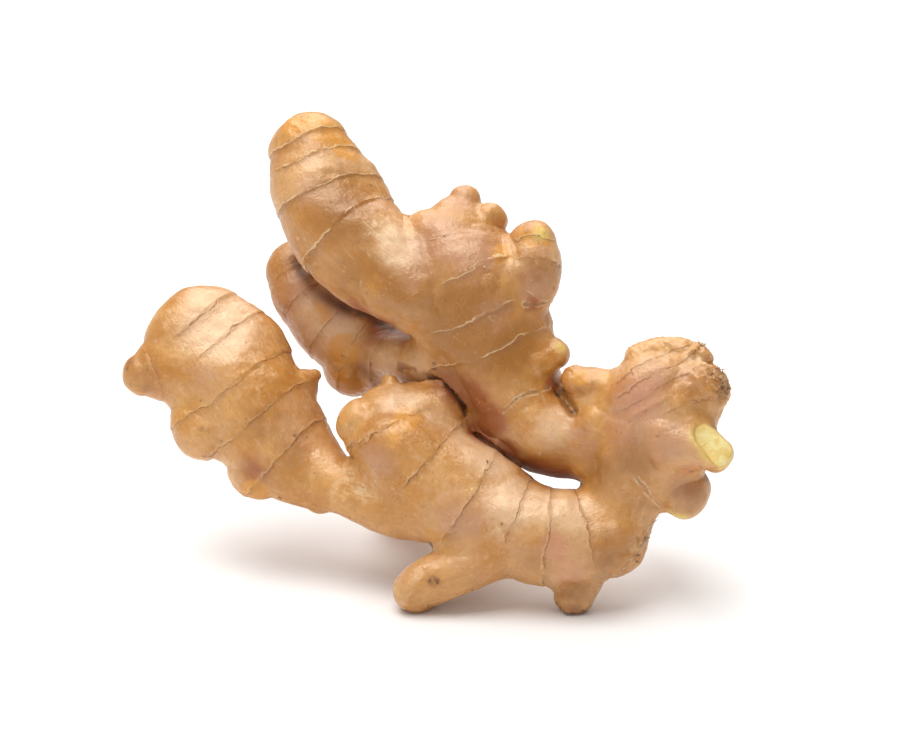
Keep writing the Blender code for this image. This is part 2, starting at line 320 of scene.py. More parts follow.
def distance_from_lobe(points, lobe):
    """How far each point is outside a lobe, how far from its tip, its turn round the spine and the radius there.
    The nearest place on the spine gives them; past either end the lobe is half an ellipsoid."""
    centres, radius = along_spine(lobe, 10)
    heading = unit(np.gradient(centres, axis=0))
    length = np.concatenate([[0], np.cumsum(np.linalg.norm(np.diff(centres, axis=0), axis=1))])
    from_tip = length[-1] - length + DOME * radius[-1]
    square = (points**2).sum(1)[:, None] + (centres**2).sum(1)[None, :] - 2 * points @ centres.T
    nearest = np.argmin(square, axis=1)
    offset = points - centres[nearest]
    ahead = (offset * heading[nearest]).sum(1)
    sideways = offset - ahead[:, None] * heading[nearest]
    across, beside = across_and_beside(heading)
    a = (sideways * across[nearest]).sum(1) / lobe.thin
    b = (sideways * beside[nearest]).sum(1)
    past = ((nearest == 0) & (ahead < 0)) | ((nearest == len(centres) - 1) & (ahead > 0))
    position = from_tip[nearest] - ahead
    r = np.where(past, radius[nearest], np.interp(-position, -from_tip, radius))
    outside = np.sqrt(a**2 + b**2 + np.where(past, (ahead / DOME) ** 2, 0)) - r
    return outside, np.maximum(position, 0), np.arctan2(b, a), r


def near(points, places):
    """Strength of soft round patches, each x, y, z and radius in mm and its strength at the middle: it falls as a
    bell curve of the distance over the radius, and the strongest patch counts."""
    total = np.zeros(len(points))
    for x, y, z, radius, strength in places:
        gone = ((points - (x, y, z)) ** 2).sum(1) / radius**2
        total = np.maximum(total, strength * np.exp(-gone))
    return total


def aside_of_line(points, start, end):
    """Distance in mm from a straight line between two points, the nearest place being the share along it."""
    start, end = np.array(start), np.array(end)
    share = np.clip((points - start) @ (end - start) / ((end - start) @ (end - start)), 0, 1)
    return np.linalg.norm(points - start - share[:, None] * (end - start), axis=1)


def read_skin(points):
    """For points in mm on the skin: which lobe each is on, where on it, how close the next lobe's skin comes,
    and the running number of the leaf scars there, which is whole on a scar and grows towards the root."""
    count = len(points)
    skin = {
        "owner": np.zeros(count, int), "from_tip": np.zeros(count), "turn": np.zeros(count), "radius": np.ones(count),
        "number": np.zeros(count), "spacing": np.full(count, SPACING), "shown": np.zeros(count),
        "line": np.zeros(count), "lip": np.zeros(count),
    }
    nearest, second, any_near, any_second = np.full((4, count), FAR)
    first, other = np.zeros(count, int), np.zeros(count, int)
    for index, lobe in enumerate(LOBES):
        stations = np.array(lobe.stations, float) + [*CENTRE, 0]
        # Only points within 9 mm of the lobe are measured from it.
        margin = stations[:, 3].max() + 9
        low, high = stations[:, :3].min(0) - margin, stations[:, :3].max(0) + margin
        some = np.flatnonzero(((points > low) & (points < high)).all(1))
        outside, from_tip, turn, radius = distance_from_lobe(points[some], lobe)

        closer = outside < any_near[some]
        behind = ~closer & (outside < any_second[some])
        any_second[some] = np.where(closer, any_near[some], np.where(behind, outside, any_second[some]))
        other[some] = np.where(closer, first[some], np.where(behind, index, other[some]))
        any_near[some] = np.where(closer, outside, any_near[some])
        first[some] = np.where(closer, index, first[some])
        if lobe.swelling:
            continue

        closer = outside < nearest[some]
        second[some] = np.where(closer, nearest[some], np.minimum(second[some], outside))
        nearest[some] = np.where(closer, outside, nearest[some])
        mine = some[closer]
        skin["owner"][mine] = index
        skin["from_tip"][mine] = from_tip[closer]
        skin["turn"][mine] = turn[closer]
        skin["radius"][mine] = radius[closer]
        skin["shown"][mine] = 0
        skin["spacing"][mine] = SPACING
        if lobe.scars:
            edges = np.array([0.0, *lobe.scars, lobe.scars[-1] + 12])
            wander = 0.75 * np.sin(turn[closer] + 1.9 * index) + 0.45 * np.sin(3 * turn[closer] + 1.3 * index)
            number = np.interp(from_tip[closer] + wander, edges, np.arange(len(edges)))
            skin["number"][mine] = number
            skin["spacing"][mine] = np.diff(edges)[np.clip(number.astype(int), 0, len(edges) - 2)]
            past_last = number - len(lobe.scars)
            skin["shown"][mine] = np.clip(5 * (number - 0.5), 0, 1) * np.clip(5 * (0.5 - past_last), 0, 1)
        skin["line"][mine], skin["lip"][mine] = SCAR_LOOKS.get(lobe.name, (0.7, 0.3))
    skin["seam"] = any_second - any_near
    melts = np.array([lobe.melt for lobe in LOBES], float)
    melt_of_pair = np.minimum.outer(melts, melts)
    names = [lobe.name for lobe in LOBES]
    for pair in LYING_TOGETHER:
        one, two = [names.index(name) for name in pair]
        melt_of_pair[one, two] = melt_of_pair[two, one] = 1.0
    skin["melt"] = melt_of_pair[first, other]
    # Behind the body the rear finger and the back limb have grown together.
    skin["melt"][(skin["melt"] == 1.0) & (points[:, 0] > 6) & (points[:, 1] > 2)] = 5.0
    skin["seam"] *= 1 - near(points, SMOOTHED)
    skin["together"] = skin["melt"] == 1.0
    skin["own_seam"] = second - nearest
    skin["shown"] *= np.clip((second - nearest - 0.6) / 2.5, 0, 1)
    return skin


def fill_joints(points, normals, edges, skin, passes=160):
    """Moves each point towards the mean of its neighbours, the more the nearer a joint it is, so that the lobes
    run into each other in a hollow curve as wide as their melt. Only what fills out is kept: nothing moves inwards."""
    weight = 0.6 * np.exp(-((skin["seam"] / skin["melt"]) ** 2))
    weight[weight < 0.02] = 0
    live = edges[(weight[edges] > 0).any(1)]
    start, end = np.concatenate([live, live[:, ::-1]]).T
    neighbours = np.maximum(np.bincount(start, minlength=len(points)), 1)
    moving = np.flatnonzero(weight)
    filled = points.copy()
    for _ in range(passes):
        total = np.column_stack([np.bincount(start, filled[end, k], len(points)) for k in range(3)])
        mean = total / neighbours[:, None]
        filled[moving] += weight[moving, None] * (mean[moving] - filled[moving])
    outwards = ((filled - points) * normals).sum(1)
    return points + np.clip(outwards / 0.25, 0, 1)[:, None] * (filled - points)


def swells(points, wavelengths, seed):
    """Slow uneven swelling: the mean of sine waves in random directions, one for each wavelength in mm."""
    source = np.random.default_rng(seed)
    total = np.zeros(len(points))
    for wavelength in wavelengths:
        direction = unit(source.normal(size=3))
        total += np.sin(points @ direction * 2 * math.pi / wavelength + source.uniform(0, 6.28))
    return total / len(wavelengths)


def scar_relief(skin):
    """Height in mm near a leaf scar, d being the distance past it towards the root: a narrow lip just before it,
    and a step down behind it that the skin makes good over the next few mm. Between scars the skin swells a little."""
    off = skin["number"] - np.round(skin["number"])
    d = off * skin["spacing"]
    size = np.clip(skin["spacing"] / SPACING, 0.4, 1) * skin["shown"]
    lip = 0.1 * np.exp(-(((d + 0.4) / 0.55) ** 2))
    step = np.where(d < 0, 0.1 * np.exp(d / 3.5), -0.2 * np.exp(-d / 2.6)) * np.clip(np.abs(d) / 0.5, 0, 1)
    return size * (lip + step + 0.2 * (2 * np.abs(off)) ** 0.7)


def distance_to(points, place):
    """Distance in mm from the middle of a place."""
    return np.linalg.norm(points - place[:3], axis=1)


# The yellow bud's sheath is torn off in a flat: the way it faces, its distance from the origin, and its two ends.
FACET_FACES, FACET_OUT = np.array((0.16, -0.73, 0.67)) / 1.0036, 73.0
FACET_ENDS = ((75.8, -37, 52.6), (79.6, -39.8, 48.4))
# The two ends of the slit behind the crown's knob, and a dormant eye on the back limb with its radius and strength,
# and the radius in mm of the ring round it.
SLIT_ENDS = ((37, -14.3, 56.2), (40.5, -20, 52.6))
EYE, EYE_RING = (18.1, -11, 86.7, 2.6, 1.0), 2.7
# The ragged places: the old stalk's scar, the flaky lower edge of the body, the corky end of the right foot, and the
# withered tips of four knobs and buds.
RAGGED = (
    (77, -27, 64, 7, 0.8), (79, -29, 62.5, 4, 1.0), (74, -22, 70, 5, 0.6), (66, -21, 71, 6, 0.4), (57, -20, 70, 4, 0.4),
    (61.3, -30.1, 22.9, 5, 0.45), (58.4, -33.7, 19.5, 5, 0.5), (54.5, -36.5, 15, 5, 0.45), (40, -37, 2, 4, 0.4),
    (-9, -6, 57, 4, 0.3), (3, -7, 57, 4, 0.35), (-34, 24, 122, 5, 0.3), (42, -16, 61, 4, 0.5),
)
# The rear finger goes in under the upper finger along this row of points, and painted shade darkens the joint along it.
UNDER_EDGE = (
    (-35.5, 25, 80.5), (-33.5, 22.6, 77), (-30.4, 20.8, 73.2), (-24.7, 18, 70.4), (-19.9, 16.2, 69.1),
    (-14.8, 15.4, 68), (-9.8, 12.1, 64.7), (-5.3, 9, 62.9),
)
# Old cracks in the skin, each through a row of points: the rim of the neck's swelling, the ridge on the body, the
# flaky edge under it and the foot of the right bud.
CRACKS = (
    ((21.1, -19, 52.2), (24.9, -19.8, 55.9), (28.9, -18.5, 57.7), (34.1, -15.4, 57.7)),
    ((57.3, -34.1, 39), (59.2, -33.3, 35.9), (61.5, -32.2, 32.5), (64.8, -31.3, 29.5)),
    ((62.7, -27.8, 24.3), (60.7, -31.5, 21.5), (58.4, -34.9, 18.5), (55.1, -36.8, 15.9), (51.7, -36.7, 12)),
    ((27.6, -10.4, 79.7), (31, -9.6, 79.6), (34.5, -7.5, 79.8)),
)


def aside_of_rows(points, rows):
    """Distance in mm from the nearest of several bent lines, each a row of points."""
    return np.min([aside_of_line(points, start, end) for row in rows for start, end in zip(row, row[1:])], axis=0)


# The lobes are fused on a grid of 0.6 mm, which is finer than a scar's lip is wide.
GRID = 0.6
all_points, all_faces, start = [], [], 0
for number, lobe in enumerate(LOBES):
    grid, first_pole, last_pole = lobe_surface(lobe, 1.0 + 2.4 * number)
    points, faces = closed_grid(grid, first_pole, last_pole, start)
    all_points.append(points)
    all_faces += faces
    start += len(points)
apart = mesh_of("lobes", np.vstack(all_points), all_faces)
fused = finished("lobes", apart, [("REMESH", {"mode": "VOXEL", "voxel_size": GRID * MM})])

points = numbers(fused.vertices, "co", 3).astype(float) / MM
edges = numbers(fused.edges, "vertices", 2)
skin = read_skin(points)
points = fill_joints(points, numbers(fused.vertex_normals, "vector", 3), edges, skin)
fused.vertices.foreach_set("co", (points * MM).astype(np.float32).ravel())
fused.update()
normals = numbers(fused.vertex_normals, "vector", 3)
skin = read_skin(points)

# Relief, in mm: scars, slow swells of the flesh, lumps, the ragged places' folds, pinched joints, the slit, cracks and
# the dormant eye.
height = scar_relief(skin) + 0.45 * swells(points, (31, 24, 19, 16, 13, 11), 5)
height += 0.16 * swells(points, (7, 6, 5.2, 4.4), 6) + 0.09 * swells(points, (3.4, 2.9, 2.5, 2.2), 7)
folds = 1.0 - 2.4 * np.abs(swells(points, (7, 5.5, 4.5, 3.7), 8)) - 1.2 * np.abs(swells(points, (2.8, 2.3, 1.9), 9))
height += near(points, RAGGED) * folds
height -= 1.8 * np.exp(-((skin["seam"] / 1.1) ** 2)) * skin["together"] * (points[:, 0] < 29)
height -= 2.6 * np.exp(-((aside_of_line(points, *SLIT_ENDS) / 1.1) ** 2))
from_crack = aside_of_rows(points, CRACKS) + 0.5 * swells(points, (5, 3.7, 2.6), 12)
height += 0.15 * np.exp(-(((from_crack - 0.7) / 0.6) ** 2)) - 0.1 * np.exp(-((from_crack / 0.5) ** 2))
height += 0.2 * near(points, (EYE,)) - 0.12 * np.exp(-(((distance_to(points, EYE) - EYE_RING) / 0.5) ** 2))
points = points + normals * height[:, None]
# What stands past the torn flat comes off, up to 4.4 mm from its middle line.
beyond = np.maximum(points @ FACET_FACES - FACET_OUT, 0)
beyond *= np.clip((4.4 - aside_of_line(points, *FACET_ENDS)) / 0.8, 0, 1)
points -= beyond[:, None] * FACET_FACES
points[:, 2] = np.maximum(points[:, 2], 0)
fused.vertices.foreach_set("co", (points * MM).astype(np.float32).ravel())
fused.update()

# The skin is thinned to keep it under 200,000 triangles.
skin_mesh = finished("ginger_root_skin", fused, [("DECIMATE", {"ratio": 0.54})])
skin_mesh.name = "ginger_root_skin"
root = bpy.data.objects.new("ginger_root_skin", skin_mesh)
bpy.context.scene.collection.objects.link(root)
skin_mesh.polygons.foreach_set("use_smooth", np.ones(len(skin_mesh.polygons), bool))
points = numbers(skin_mesh.vertices, "co", 3).astype(float) / MM
skin = read_skin(points)


def keep(mesh, name, values):
    """Stores one number or one vector for every point of the mesh."""
    kind = "FLOAT" if values.ndim == 1 else "FLOAT_VECTOR"
    layer = mesh.attributes.new(name, kind, "POINT")
    layer.data.foreach_set("value" if values.ndim == 1 else "vector", values.astype(np.float32).ravel())


# What the material reads at each point. Each stretch between two scars has a tone of its own.
tone_of = np.random.default_rng(11).uniform(size=(len(LOBES), 16))
tone = tone_of[skin["owner"], np.clip(skin["number"].astype(int), 0, 15)]
tone = 0.5 + (tone - 0.5) * np.clip((skin["own_seam"] - 0.5) / 4, 0, 1)
# The lobe's own straight axes, 20 mm further along for each lobe, so that no two have the same fibres.
turn = skin["turn"]
lengthwise = skin["from_tip"] + 20 * skin["owner"]
straight = np.column_stack([skin["radius"] * np.cos(turn), skin["radius"] * np.sin(turn), lengthwise])
owned_by = [lobe.name for lobe in LOBES].index
on_rear = skin["owner"] == owned_by("rear_finger")
on_front = skin["owner"] == owned_by("front_limb")
# Painted shade in the pinched joints: a dark line along each joint, and a broader painted shade beside it.
crease = np.exp(-((skin["seam"] / np.where(on_rear, 4.0, 1.7)) ** 2)) * skin["together"]
crease *= np.where(on_front | on_rear, 0.6, 1.0)
hollow = np.exp(-((skin["seam"] / np.where(on_rear, 7.0, 5.5)) ** 2)) * skin["together"]
hollow *= np.where(on_front, 0.15, 1.0)
under_edge = aside_of_rows(points, (UNDER_EDGE,))
from_slit = aside_of_line(points, *SLIT_ENDS)
from_crack = aside_of_rows(points, CRACKS) + 0.5 * swells(points, (5, 3.7, 2.6), 12)
on_facet = np.clip((4.6 - aside_of_line(points, *FACET_ENDS)) / 2.2, 0, 1)
for name, values in (
    ("scar_number", skin["number"]),
    ("scar_spacing", skin["spacing"]),
    ("scar_line", skin["shown"] * skin["line"]),
    ("scar_lip", skin["shown"] * skin["lip"]),
    ("scar_shade", skin["shown"]),
    # The painted crease shade also darkens the slit behind the crown's knob and the joint under the upper finger, and
    # the painted hollow shade spreads wider there.
    ("crease", np.maximum.reduce([crease, np.exp(-((from_slit / 1.3) ** 2)), np.exp(-((under_edge / 1.5) ** 2))])),
    ("hollow", np.maximum(hollow, np.exp(-((under_edge / 2.6) ** 2)))),
    ("facet", on_facet * np.clip((points @ FACET_FACES - FACET_OUT + 1.2) / 1.0, 0, 1)),
    ("crack", np.exp(-((from_crack / 0.9) ** 2))),
    ("eye_rim", np.exp(-(((distance_to(points, EYE) - EYE_RING) / 0.45) ** 2))),
    ("finger", straight),
    ("tone", tone),
):
    keep(skin_mesh, name, values)

# Patches of other colours, as x, y, z and radius in mm and strength: the gold of young flesh that shows through, the
# rose of bruised skin, brown smudges, papery dead skin, deeper skin that is partly painted shade on faces turned from
# the top light, lighter skin that is partly painted highlight where the top light shines, dried brown spots, russet
# painted shade in the joints, mauve where the flesh is palest, and the green-yellow of the growing buds.
PATCHES = {
    "gold": (
        (-33, 25, 122, 7, 0.9), (-27, 21, 120, 6, 0.8), (-21, 19, 115, 5, 0.9), (-13, -7, 84, 9, 0.35),
        (-22.5, 10.9, 58.6, 5.6, 1.0), (-28, 16, 68.6, 6, 0.5), (-20, 12, 49, 6, 0.9), (21, -4, 91.7, 5, 0.6),
        (42, -19, 62, 4, 0.6), (-4.7, -21, 50.7, 6, 0.6), (-8, -24, 47, 5, 0.5), (-46, -13, 26.5, 4, 1.0),
        (-80, 4, 56, 4, 0.4), (53, -35, 29, 5, 0.2), (48, -38.5, 21.6, 6, 0.3), (29, -2.9, 97, 4, 0.8),
        (33, -3, 95.7, 3, 0.6), (36, -10.5, 66, 3.5, 0.6), (30.5, -1, 99, 3, 0.8),
    ),
    "rose": (
        (35.4, -40, 21.4, 5, 0.9), (39.5, -39.7, 15, 6, 0.7), (57.8, -31, 61.6, 7, 0.8), (52, -28, 62, 5, 0.6),
        (52, -32, 49, 7, 0.4), (71, -36, 42, 5, 0.7), (31.6, -4, 94, 4, 0.6), (-34, 18, 84, 4, 0.6),
    ),
    "brown": (
        (-22, 5, 103, 5, 0.8), (-21, 13.8, 111.7, 4, 0.5), (-18.4, 10, 53, 5, 0.7), (-34.5, 25, 80.3, 6, 0.5),
        (8.8, -12.6, 57.5, 6, 1.0), (13, -12, 52, 5, 0.8), (30.5, -9.4, 87.3, 3, 0.7), (29, 0, 98, 2.5, 0.9),
        (30, -21, 38, 6, 0.5), (78.5, -28, 66, 5, 0.6), (79, -30, 60, 4, 0.5), (80, -30, 62.8, 3, 0.8),
        (49, -38, 17, 4, 0.6), (60, -33, 31, 3, 0.6), (63, -32, 29, 2.5, 0.6), (-44, -10.5, 45, 8, 0.5),
        (-36, -13, 39, 8, 0.5), (40.2, -37.9, 2, 3, 0.9), (3.1, -38.7, 10.9, 2.4, 0.8), (-60.5, -7, 42.6, 1.2, 0.9),
        (-80.5, 5, 58, 1.5, 1.0), (18.1, -10.2, 86.4, 2.4, 0.6), (62, -32, 22, 6, 0.35), (2.5, -28.5, 15.8, 1.8, 1.0),
        (38, -12, 64, 3, 0.7), (42, -20, 59, 2, 0.7), (-75.8, 1.5, 51.5, 2, 0.6), (73, -32, 57, 4, 0.5),
    ),
    "papery": (
        (-9.4, -1.2, 93.7, 6, 1.0), (-12.9, 2.8, 98.1, 4, 0.8), (-15, -21.7, 31, 5, 0.9), (-19, -16.8, 34.5, 5, 0.7),
        (-22, -19, 29, 5, 0.6), (62.5, -32, 22.5, 7, 0.6), (58, -36, 18, 5, 0.6), (19.7, -37.5, 25.5, 4, 0.5),
        (26, -37, 28, 5, 0.5), (-12, -27, 38.5, 4, 0.5), (66, -22, 68, 6, 0.6), (73, -26, 68, 5, 0.7),
    ),
    # Deep: the skin's own deeper orange-brown, and painted shade on the faces turned away from the top light.
    "deep": (
        (-22, 6, 103, 12, 0.7), (-5, -6, 85, 12, 0.8), (-14, -4, 88, 9, 0.6), (12, -13, 75, 14, 1.0),
        (20, -12, 68, 12, 0.9), (-20, 5, 100, 10, 0.8), (-18, -1, 84, 9, 0.6), (56, -34, 45, 8, 0.7), (14, -12, 60, 9, 0.6),
        (30, -8, 88, 8, 0.6), (-18, 10, 50, 9, 0.9), (36, -19, 40, 9, 0.6), (72, -34, 33, 6, 0.6), (50, -38, 18, 9, 0.5),
        (41, -37, 8, 6, 0.6), (-45, -8, 44, 9, 0.4), (-17, 3, 97, 8, 0.7), (-24, -1, 36, 7, 0.4), (-36, -12, 34, 6, 0.4),
        (5, -8, 96, 7, 0.3), (48, -28, 40, 9, 0.7), (31, -38.5, 17, 8, 0.4),
    ),
    # Light: the skin's own paler places, and painted highlights on the tops where the top light shines.
    "light": (
        (-56, 5, 69, 12, 1.0), (-60, 10.7, 73.9, 7, 0.7), (-50.5, 10, 71, 6, 0.6), (5, -32, 35, 10, 0.35),
        (24.8, -33.7, 32.5, 10, 0.8), (33, -34.2, 31.3, 8, 0.8), (39.5, -35, 29.7, 7, 0.9), (18.2, -24, 41.6, 9, 0.9),
        (11.4, -20.6, 44.7, 7, 0.7), (-6, -14.6, 54, 7, 0.7), (4.7, -18, 49.5, 6, 0.5), (-6.1, -3.2, 92.9, 6, 0.9),
        (-7.5, -0.5, 96.3, 5, 0.9), (-30.2, 16.8, 66, 9, 1.0), (-20.4, 12.2, 58.8, 7, 0.6), (-9, 4, 56, 8, 0.8),
        (0, -4, 60, 6, 0.6), (-26, 15, 51, 6, 0.4), (35, -22, 49, 6, 0.8), (-30, 18, 70, 6, 0.7), (-24.6, 15, 63.7, 8, 0.9),
        (-38, -10, 34, 8, 0.3), (15, -32, 38, 7, 0.35), (34, -21, 49, 7, 0.5), (58, -31, 60, 8, 0.4), (22, -34, 33, 7, 0.3),
        (-1, -37, 28, 8, 0.2),
    ),
    "dried": (
        (-33.6, 25.4, 79.6, 2, 0.6), (-30.8, 22.3, 77.1, 2.4, 0.6), (-5.9, 9.7, 62.9, 2.5, 0.6),
        (3.3, -7.5, 61.5, 1.5, 1.0), (36.7, -13, 55.7, 2, 0.8), (40, -16.9, 51.9, 1.8, 0.8), (71.9, -34.3, 40.6, 1.4, 0.6),
        (76.1, -28.5, 37.1, 1.6, 0.8), (1.5, -29.5, 17, 2, 0.8), (36, -34.4, 1.6, 2.2, 1.0), (39.8, -36.8, 0.6, 2.2, 1.0),
        (44.1, -35.8, 0.6, 2.2, 1.0), (-60.5, -6.6, 42.8, 0.9, 0.6), (-60.2, -7, 34.7, 1, 0.7), (-81.8, 4, 56.5, 1.3, 0.7),
        (-80.5, 2.2, 52, 1.2, 0.5), (62.5, -29, 24, 2, 0.5), (60, -32.5, 20.5, 2, 0.6), (57.5, -35.5, 17, 2, 0.5),
        (80, -28.5, 62.5, 3, 0.6), (79.5, -26, 65.5, 3, 0.6), (3, -38.5, 10.9, 1.5, 1.0), (36.5, -13.5, 58, 1.8, 0.9),
        (-34, 25, 123, 2, 0.5),
    ),
    # Russet: painted shade, mostly in the joints.
    "russet": (
        (7.4, -11, 57, 5, 0.8), (12.8, -16.3, 55.2, 5.5, 0.9), (17.7, -18.4, 49.5, 5, 0.9), (23.1, -18.1, 41, 4, 0.8),
        (31.9, -17.4, 34.1, 6, 1.0), (38.7, -17.5, 32.4, 6, 1.0), (27.6, -14, 33.9, 5, 1.0), (16.1, -13.7, 43.2, 5, 1.0),
        (35.2, -14.2, 58.5, 2.5, 0.9), (-10, 12, 65, 5, 1.0), (-5.5, 9, 62.9, 4, 1.0), (-33, 25, 121, 1.5, 0.5),
        (-17, -1, 75, 4, 0.6), (-10, -4, 71, 4, 0.6), (30, -10, 79.5, 2.2, 0.7), (-46, -13.6, 33, 5, 0.5),
    ),
    "mauve": (
        (4, -4, 97, 10, 0.8), (13, -6, 94, 9, 0.8), (10, 8, 105, 8, 0.5), (62, -29, 66, 7, 0.6), (70, -29, 66, 6, 0.5),
        (-2, -8, 87, 6, 0.4), (31, -8.5, 84, 6, 0.7), (20, -14.5, 79, 7, 0.5), (56, -32, 56, 9, 0.8), (66, -36, 50, 8, 0.7),
        (44, -24, 47, 7, 0.5), (-25, 17, 72, 7, 0.8), (-35, 22, 73, 6, 0.7), (10, -35, 27, 9, 0.6), (-12, -26, 41, 6, 0.6),
        (-58, -1, 56, 9, 0.4), (70, -34, 36, 6, 0.6), (-31, 8, 106, 6, 0.5),
    ),
    "bud": (
        (73.9, -38, 52.9, 4, 0.9), (77, -40.4, 49.5, 4.5, 1.0), (80.8, -40, 47, 4, 1.0), (69.2, -31, 26.3, 3, 0.9),
        (66.4, -31.6, 28.2, 2, 0.6), (31.7, -2, 97, 2.6, 0.9), (37.6, -12, 68.5, 2.6, 0.7), (40.2, -36, 8, 4, 0.25),
        (-6.6, -36, 7.3, 4, 0.3),
    ),
}
for name, places in PATCHES.items():
    keep(skin_mesh, name, near(points, places))


# The rhizome's skin: fresh, thin and slightly see-through, washed but not peeled. It has a soft waxy gloss, fine
# fibres along each finger, thin papery lips at the leaf scars with a brown line behind them, and small brown specks.
def linear(colour):
    """An sRGB hex colour as linear red, green, blue and alpha."""
    channels = [int(colour[i : i + 2], 16) / 255 for i in (1, 3, 5)]
    return (*[c / 12.92 if c <= 0.04045 else ((c + 0.055) / 1.055) ** 2.4 for c in channels], 1.0)


def add(tree, kind, inputs=None, output=0, **settings):
    """Adds a node with its settings, sets or links its inputs, and gives back one of its outputs."""
    node = tree.nodes.new("ShaderNode" + kind)
    for key, value in settings.items():
        setattr(node, key, value)
    for key, value in (inputs or {}).items():
        if isinstance(value, bpy.types.NodeSocket):
            tree.links.new(value, node.inputs[key])
        else:
            node.inputs[key].default_value = value
    return node.outputs[output]


material = bpy.data.materials.new("fresh_ginger_skin")
material.use_nodes = True
tree = material.node_tree
shader = tree.nodes["Principled BSDF"]
place = add(tree, "TexCoord", output="Object")
# Everything that the layers below are ruled by: what the skin's points carry, uneven patterns and worked-out values.
signal = {
    name: add(tree, "Attribute", output="Fac", attribute_name=name)
    for name in (
        "scar_number", "scar_spacing", "scar_line", "scar_lip", "scar_shade",
        "crease", "hollow", "facet", "eye_rim", "crack", "tone", *PATCHES,
    )
}

# Patterns, by the size of their grains in mm. The real grain is 0.1 to 0.2 mm: it is drawn at 0.6 mm to show.
for name, size, detail in (
    ("broad", 34, 3), ("mottle", 13, 4), ("blotch", 5, 4), ("edge", 2.6, 4), ("break", 5.5, 3), ("ragged", 1.3, 4),
    ("pimple", 1.8, 3), ("crinkle", 3.4, 6), ("grain", 0.6, 3), ("wave", 7, 2),
):
    signal[name] = add(tree, "TexNoise", {"Vector": place, "Scale": 1000 / size, "Detail": detail, "Roughness": 0.6})
# Fibres are about 1 mm apart and run 8 mm or more along the finger.
finger = add(tree, "Attribute", output="Vector", attribute_name="finger")
along = add(tree, "Mapping", {"Vector": finger, "Scale": (1, 1, 0.1)})
signal["fibre"] = add(tree, "TexNoise", {"Vector": along, "Scale": 1.1, "Detail": 4.0, "Roughness": 0.65})
# Brown pores, about 4 mm apart.
signal["pore"] = add(tree, "TexVoronoi", {"Vector": place, "Scale": 260.0}, output="Distance")

# Distance from the nearest leaf scar in mm, positive towards the root, made ragged and wavy by these many mm.
whole = add(tree, "Math", {0: signal["scar_number"]}, operation="ROUND")
off = add(tree, "Math", {0: signal["scar_number"], 1: whole}, operation="SUBTRACT")
past = add(tree, "Math", {0: off, 1: signal["scar_spacing"]}, operation="MULTIPLY")
for name, most in (("ragged", 0.35), ("wave", 0.9)):
    limits = {"Value": signal[name], "From Min": 0.25, "From Max": 0.75, "To Min": -most, "To Max": most}
    past = add(tree, "Math", {0: past, 1: add(tree, "MapRange", limits)}, operation="ADD")
signal["past"] = past
# A patch's strength with an uneven edge.
for name in (*PATCHES, "facet"):
    uneven = {0: signal["edge"], 1: 0.55, 2: signal[name]}
    signal["uneven_" + name] = add(tree, "Math", uneven, operation="MULTIPLY_ADD")

